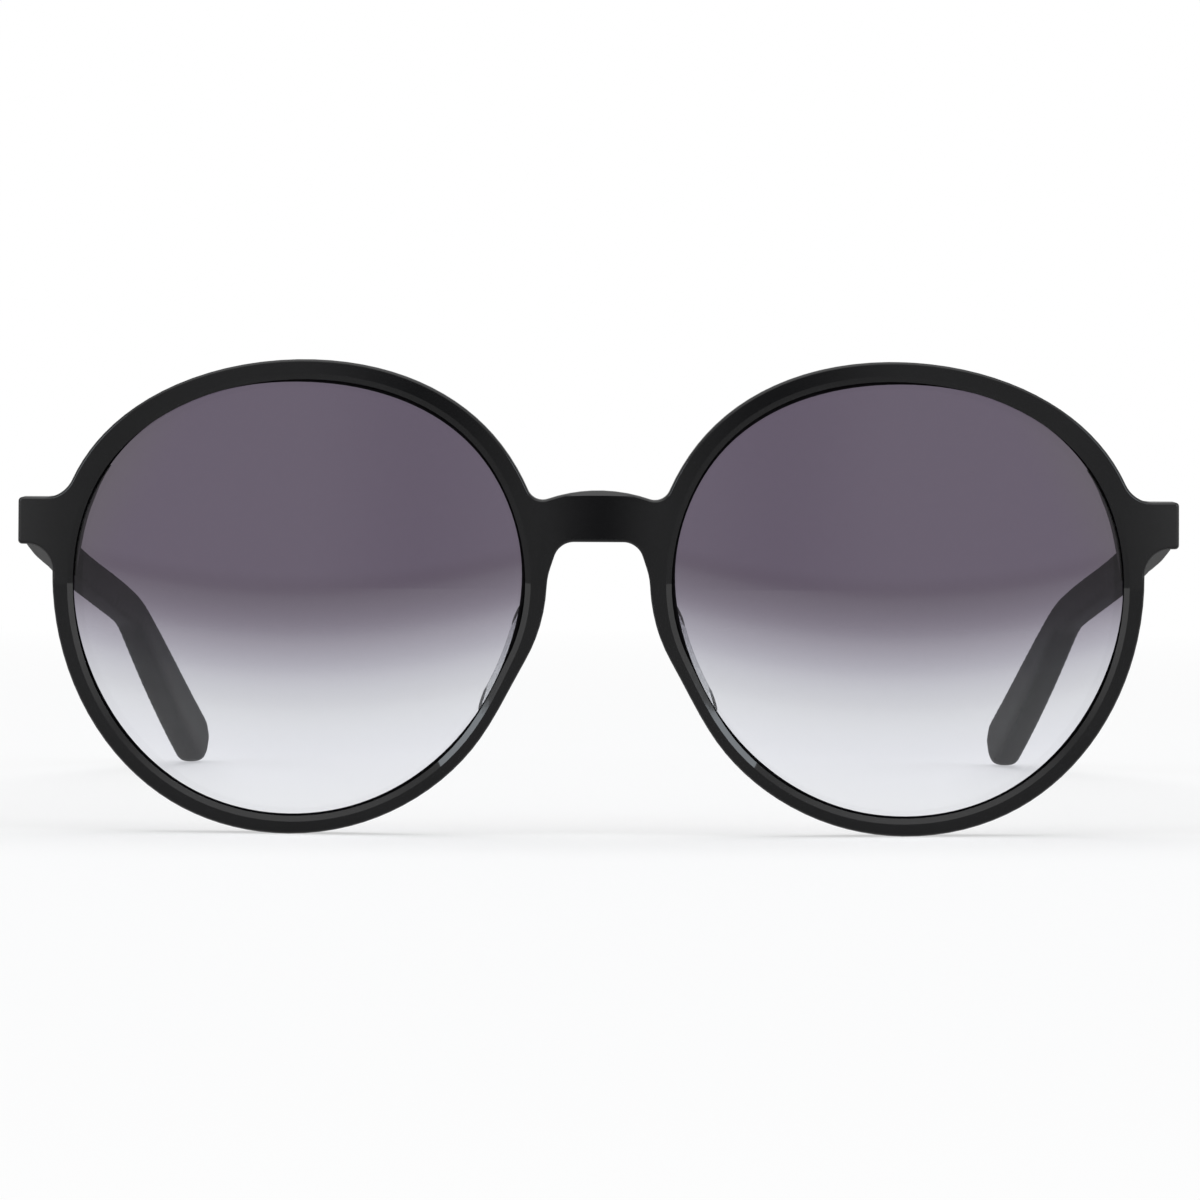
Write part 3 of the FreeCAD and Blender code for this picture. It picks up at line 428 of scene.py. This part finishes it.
def gradient_lens(name, side):
    """A smoked lens, evenly dark down to eye height and then fading until it is nearly clear at the bottom.

    The fade reaches higher towards the lens's two sides. This is partly the dye's own line and partly a
    painted reflection of the white room. A greenish sheen, also a painted reflection, is mixed into the colour
    at the upper outer edge.
    """
    material, graph = new_material(name)
    place = graph.add("ShaderNodeTexCoord").outputs["Object"]
    parts = graph.add("ShaderNodeSeparateXYZ", {"Vector": place}).outputs
    aside = graph.math("SUBTRACT", parts["X"], side * EYE_X)
    # Lighter towards the sides: partly the dye's own line and partly a painted reflection of the white room.
    dome = graph.math("MULTIPLY", graph.math("MULTIPLY", aside, aside), FADE_DOME)
    height = graph.math("SUBTRACT", parts["Z"], dome)
    faded = graph.spread(height, 0.0, 1.0, FADE_TOP, FADE_BOTTOM)
    tint = graph.ramp(faded, FADE_STOPS, "CARDINAL")
    outward = graph.math("MULTIPLY", aside, float(side))
    rise = graph.math("SUBTRACT", parts["Z"], EYE_HEIGHT)
    far_out = graph.math("MULTIPLY", outward, PAINTED_SHEEN_OUTWARD)
    high_up = graph.math("MULTIPLY", rise, PAINTED_SHEEN_UPWARD)
    slant = graph.math("ADD", far_out, high_up)
    # Painted reflection: a greenish sheen mixed into the tint towards the upper outer edge. It fades out where
    # the lens is clear.
    painted_sheen = graph.spread(slant, 0.0, PAINTED_SHEEN_SHARE, PAINTED_SHEEN_START, PAINTED_SHEEN_END, "SMOOTHSTEP")
    painted_sheen_share = graph.math("MULTIPLY", painted_sheen, graph.math("SUBTRACT", 1.0, faded))
    colour = graph.tinted(painted_sheen_share, tint, PAINTED_SHEEN_COLOUR)
    film = marks(graph, cloud_size=40.0, hairline_size=400.0)
    return glassy(graph, material, colour, film["Polish"], smooth=0.0, rough=0.012, index=LENS_INDEX)


def glassy(graph, material, tint, polish, smooth, rough, index):
    """Finishes a clear material: refracting to the eye, and passing tinted light straight on for shadows."""
    sockets = {"Base Color": tint, "Roughness": graph.spread(polish, smooth, rough)}
    shader = graph.add("ShaderNodeBsdfPrincipled", sockets)
    shader.inputs["IOR"].default_value = index
    shader.inputs["Transmission Weight"].default_value = 1.0
    passing = graph.add("ShaderNodeBsdfTransparent", {"Color": tint})
    shadow = graph.add("ShaderNodeLightPath").outputs["Is Shadow Ray"]
    graph.surface(graph.blend(shadow, shader.outputs[0], passing.outputs[0]))
    return material


def lens_edge_painted_shadow():
    """The lens's edge faces: dull, and painted dark as the shadow in the rim's groove."""
    material, graph = new_material("lens_edge_painted_shadow")
    film = marks(graph, cloud_size=300.0, hairline_size=1500.0)
    # Painted shadow: the dark tones stand for the shade in the rim's groove, varied at random by the clouds.
    tone = graph.ramp(film["Tone"], ((CLOUD_LOW, linear(20, 19, 22)), (CLOUD_HIGH, linear(30, 28, 32))))
    sockets = {"Base Color": tone, "Roughness": graph.spread(film["Polish"], 0.45, 0.65)}
    graph.surface(graph.add("ShaderNodeBsdfPrincipled", sockets).outputs[0])
    return material


def clear_pad_plastic():
    """Clear moulded plastic of the nose pads, a little cloudy."""
    material, graph = new_material("clear_pad_plastic")
    film = marks(graph, cloud_size=300.0, hairline_size=1500.0)
    tint = graph.ramp(film["Tone"], ((CLOUD_LOW, linear(236, 238, 240)), (CLOUD_HIGH, linear(246, 247, 248))))
    return glassy(graph, material, tint, film["Polish"], smooth=0.06, rough=0.2, index=PAD_INDEX)


def hinge_metal(name, dark, light, smooth, rough):
    """Drawn or turned metal with fine hairlines."""
    material, graph = new_material(name)
    wear = marks(graph, cloud_size=400.0, hairline_size=6000.0)
    tone = graph.ramp(wear["Tone"], ((CLOUD_LOW, dark), (CLOUD_HIGH, light)))
    bump = graph.add("ShaderNodeBump", {"Height": wear["Height"], "Strength": 0.15, "Distance": 0.00002})
    sockets = {"Base Color": tone, "Roughness": graph.spread(wear["Polish"], smooth, rough)}
    shader = graph.add("ShaderNodeBsdfPrincipled", sockets)
    shader.inputs["Metallic"].default_value = 1.0
    graph.feed(shader, "Normal", bump.outputs[0])
    graph.surface(shader.outputs[0])
    return material


def paint(item, material):
    """Gives an object one material all over."""
    if item.material_slots:
        for place in item.material_slots:
            place.material = material
    else:
        item.data.materials.append(material)


def paint_edge(lens, material):
    """Gives the faces between a lens's two balls a second material."""
    mesh = lens.data
    mesh.materials.append(material)
    for polygon in mesh.polygons:
        if ball_of([mesh.vertices[index].co for index in polygon.vertices]) is None:
            polygon.material_index = 1


def make_acetate_pieces():
    """The polished front frame and the two satin temples."""
    polished = black_acetate("polished_black_acetate", smooth=0.02, rough=0.07)
    satin = black_acetate("satin_black_acetate", smooth=0.28, rough=0.42)
    paint(soft_piece("front_frame", "front", FRONT_SOFT_WIDTH), polished)
    for name in ("left", "right"):
        arm = name + "_temple"
        paint(rounded_piece(arm, arm + "_arm"), satin)


def make_clear_pieces():
    """The two lenses and the two nose pads."""
    plastic = clear_pad_plastic()
    # The lens edges get the painted shadow of the rim's groove.
    edge = lens_edge_painted_shadow()
    for name, side in (("left", 1), ("right", -1)):
        lens = soft_piece(name + "_lens", "front", NO_SOFT_WIDTH)
        paint(lens, gradient_lens(name + "_gradient_lens", side))
        paint_edge(lens, edge)
        paint(soft_piece(name + "_nose_pad", "front", PAD_SOFT_WIDTH), plastic)


def finish_metal_parts():
    """Hinges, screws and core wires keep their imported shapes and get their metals."""
    nickel_silver = hinge_metal("nickel_silver", linear(176, 172, 166), linear(205, 202, 196), 0.18, 0.38)
    polished_steel = hinge_metal("polished_steel", linear(196, 196, 198), linear(222, 222, 224), 0.10, 0.24)
    drawn_wire = hinge_metal("drawn_wire", linear(168, 166, 162), linear(190, 188, 184), 0.28, 0.45)
    metals = {
        "front_hinge": nickel_silver,
        "temple_hinge": nickel_silver,
        "hinge_screw": polished_steel,
        "core_wire": drawn_wire,
    }
    for name in ("left", "right"):
        for part, metal in metals.items():
            paint(frame["nodes"][f"{name}_{part}"], metal)


# ---------------------------------------------------------------- studio

WHITE = (1.0, 1.0, 1.0, 1.0)
PAPER = (0.98, 0.98, 0.98, 1.0)

# The table, and the ring over which its share of true shadow fades out into plain white.
TABLE_RADIUS = 1.6
SHADOW_START = 0.12
SHADOW_END = 0.50
SHADOW_SHARE = 0.45

# The brightness of the air's own light, and of the room in reflections.
AIR_LIGHT = 0.30
ROOM_FRONT = 0.38
ROOM_MIDDLE = 0.10
ROOM_SIDE = 1.3
ROOM_BEHIND = 0.25
ROOM_TOP = 1.2

# Where one part of the reflected room turns into the next: parts of a unit direction, or metres on the table.
MIDDLE_TO_FRONT = (0.0, 0.25)
FRONT_TO_SIDE = (0.62, 0.95)
FRONT_TO_BEHIND = (-0.25, 0.25)
LEVEL_TO_TOP = (0.50, 0.98)
TABLE_FRONT_TO_BEHIND = (-0.10, 0.05)

# The lights: where they stand, their width, height and power, and the cooler colour of the side ones.
OVERHEAD_PLACE = (0.0, 0.05, 0.95)
OVERHEAD_BOX = (1.3, 0.9, 7.0)
SIDE_DISTANCE = 0.95
SIDE_DEPTH = -0.35
SIDE_HEIGHT = 0.45
SIDE_BOX = (0.30, 0.55, 2.0)
SIDE_COLOUR = (0.84, 0.92, 1.0)


def white_table():
    """A white table that keeps a soft shadow near the glasses and turns into plain white further out."""
    mesh = bpy.data.meshes.new("table")
    shape = bmesh.new()
    bmesh.ops.create_circle(shape, cap_ends=True, segments=96, radius=TABLE_RADIUS)
    shape.to_mesh(mesh)
    shape.free()
    table = bpy.data.objects.new("table", mesh)
    bpy.context.collection.objects.link(table)
    material, graph = new_material("white_table")
    place = graph.add("ShaderNodeTexCoord").outputs["Object"]
    distance = graph.add("ShaderNodeVectorMath", {0: place}, operation="LENGTH").outputs["Value"]
    plain_share = graph.spread(distance, 1.0 - SHADOW_SHARE, 1.0, SHADOW_START, SHADOW_END)
    path = graph.add("ShaderNodeLightPath").outputs
    plain = graph.add("ShaderNodeEmission", {"Color": WHITE, "Strength": 1.0})
    paper = graph.add("ShaderNodeBsdfDiffuse", {"Color": PAPER})
    plain_part = graph.math("MULTIPLY", graph.seen_directly(path), plain_share)
    lit = graph.blend(plain_part, paper.outputs[0], plain.outputs[0])
    depth = graph.add("ShaderNodeSeparateXYZ", {"Vector": place}).outputs["Y"]
    mirrored = graph.spread(depth, ROOM_FRONT, ROOM_BEHIND, *TABLE_FRONT_TO_BEHIND)
    reflection = graph.add("ShaderNodeEmission", {"Color": WHITE, "Strength": mirrored})
    reflected = graph.math("SUBTRACT", path["Is Glossy Ray"], path["Is Transmission Ray"], clamp=True)
    graph.surface(graph.blend(reflected, lit, reflection.outputs[0]))
    mesh.materials.append(material)


def studio_air():
    """The room: plain white to the eye. In reflections it is pale all round, darkest straight in front, and
    bright at the sides and overhead.
    """
    world = bpy.data.worlds.new("studio_air")
    world.use_nodes = True
    bpy.context.scene.world = world
    graph = Graph(world.node_tree)
    way = graph.add("ShaderNodeTexCoord").outputs["Generated"]
    parts = graph.add("ShaderNodeSeparateXYZ", {"Vector": way}).outputs
    aside = graph.math("ABSOLUTE", parts["X"])
    front = graph.spread(aside, ROOM_MIDDLE, ROOM_FRONT, *MIDDLE_TO_FRONT, "SMOOTHSTEP")
    beside = graph.spread(aside, 0.0, 1.0, *FRONT_TO_SIDE, "SMOOTHSTEP")
    behind = graph.spread(parts["Y"], 0.0, 1.0, *FRONT_TO_BEHIND)
    above = graph.spread(parts["Z"], 0.0, 1.0, *LEVEL_TO_TOP, "SMOOTHSTEP")
    level = graph.between(behind, graph.between(beside, front, ROOM_SIDE), ROOM_BEHIND)
    room = graph.between(above, level, ROOM_TOP)
    path = graph.add("ShaderNodeLightPath").outputs
    unseen = graph.between(path["Is Glossy Ray"], AIR_LIGHT, room)
    strength = graph.between(graph.seen_directly(path), unseen, 1.0)
    air = graph.add("ShaderNodeBackground", {"Color": WHITE, "Strength": strength})
    graph.add("ShaderNodeOutputWorld", {"Surface": air.outputs[0]})


def soft_box(name, place, target, width, height, power):
    """A rectangular soft light that faces its target."""
    lamp = bpy.data.lights.new(name, "AREA")
    lamp.shape = "RECTANGLE"
    lamp.size = width
    lamp.size_y = height
    lamp.energy = power
    light = bpy.data.objects.new(name, lamp)
    bpy.context.collection.objects.link(light)
    light.location = place
    light.rotation_euler = (Vector(target) - Vector(place)).to_track_quat("-Z", "Y").to_euler()
    return light


def light_studio():
    """A large soft box overhead, out of reflections, and a smaller, cooler one on each side."""
    middle = (0.0, FRONT_Y, EYE_HEIGHT)
    overhead = soft_box("overhead", OVERHEAD_PLACE, middle, *OVERHEAD_BOX)
    overhead.visible_glossy = False
    for name, side in (("side_left", 1), ("side_right", -1)):
        beside = soft_box(name, (side * SIDE_DISTANCE, SIDE_DEPTH, SIDE_HEIGHT), middle, *SIDE_BOX)
        beside.data.color = SIDE_COLOUR


def place_camera():
    """The camera stands in front at the photograph's height and looks slightly down at the eye line."""
    camera = bpy.data.objects.new("camera", bpy.data.cameras.new("camera"))
    bpy.context.collection.objects.link(camera)
    camera.data.lens = FOCAL_LENGTH
    camera.data.sensor_width = SENSOR_WIDTH
    camera.data.clip_start = NEAREST_SEEN
    camera.data.clip_end = FARTHEST_SEEN
    place = Vector((CAMERA_SIDE, FRONT_Y - CAMERA_DISTANCE, EYE_HEIGHT + CAMERA_RISE))
    aim = Vector((CAMERA_SIDE, FRONT_Y, EYE_HEIGHT))
    turn = (aim - place).to_track_quat("-Z", "Y").to_matrix().to_4x4()
    camera.matrix_world = Matrix.Translation(place) @ turn @ Matrix.Rotation(CAMERA_ROLL, 4, "Z")
    bpy.context.scene.camera = camera


make_acetate_pieces()
make_clear_pieces()
finish_metal_parts()
white_table()
studio_air()
light_studio()
place_camera()
bpy.context.scene.view_settings.view_transform = "Standard"

bpy.context.view_layer.update()
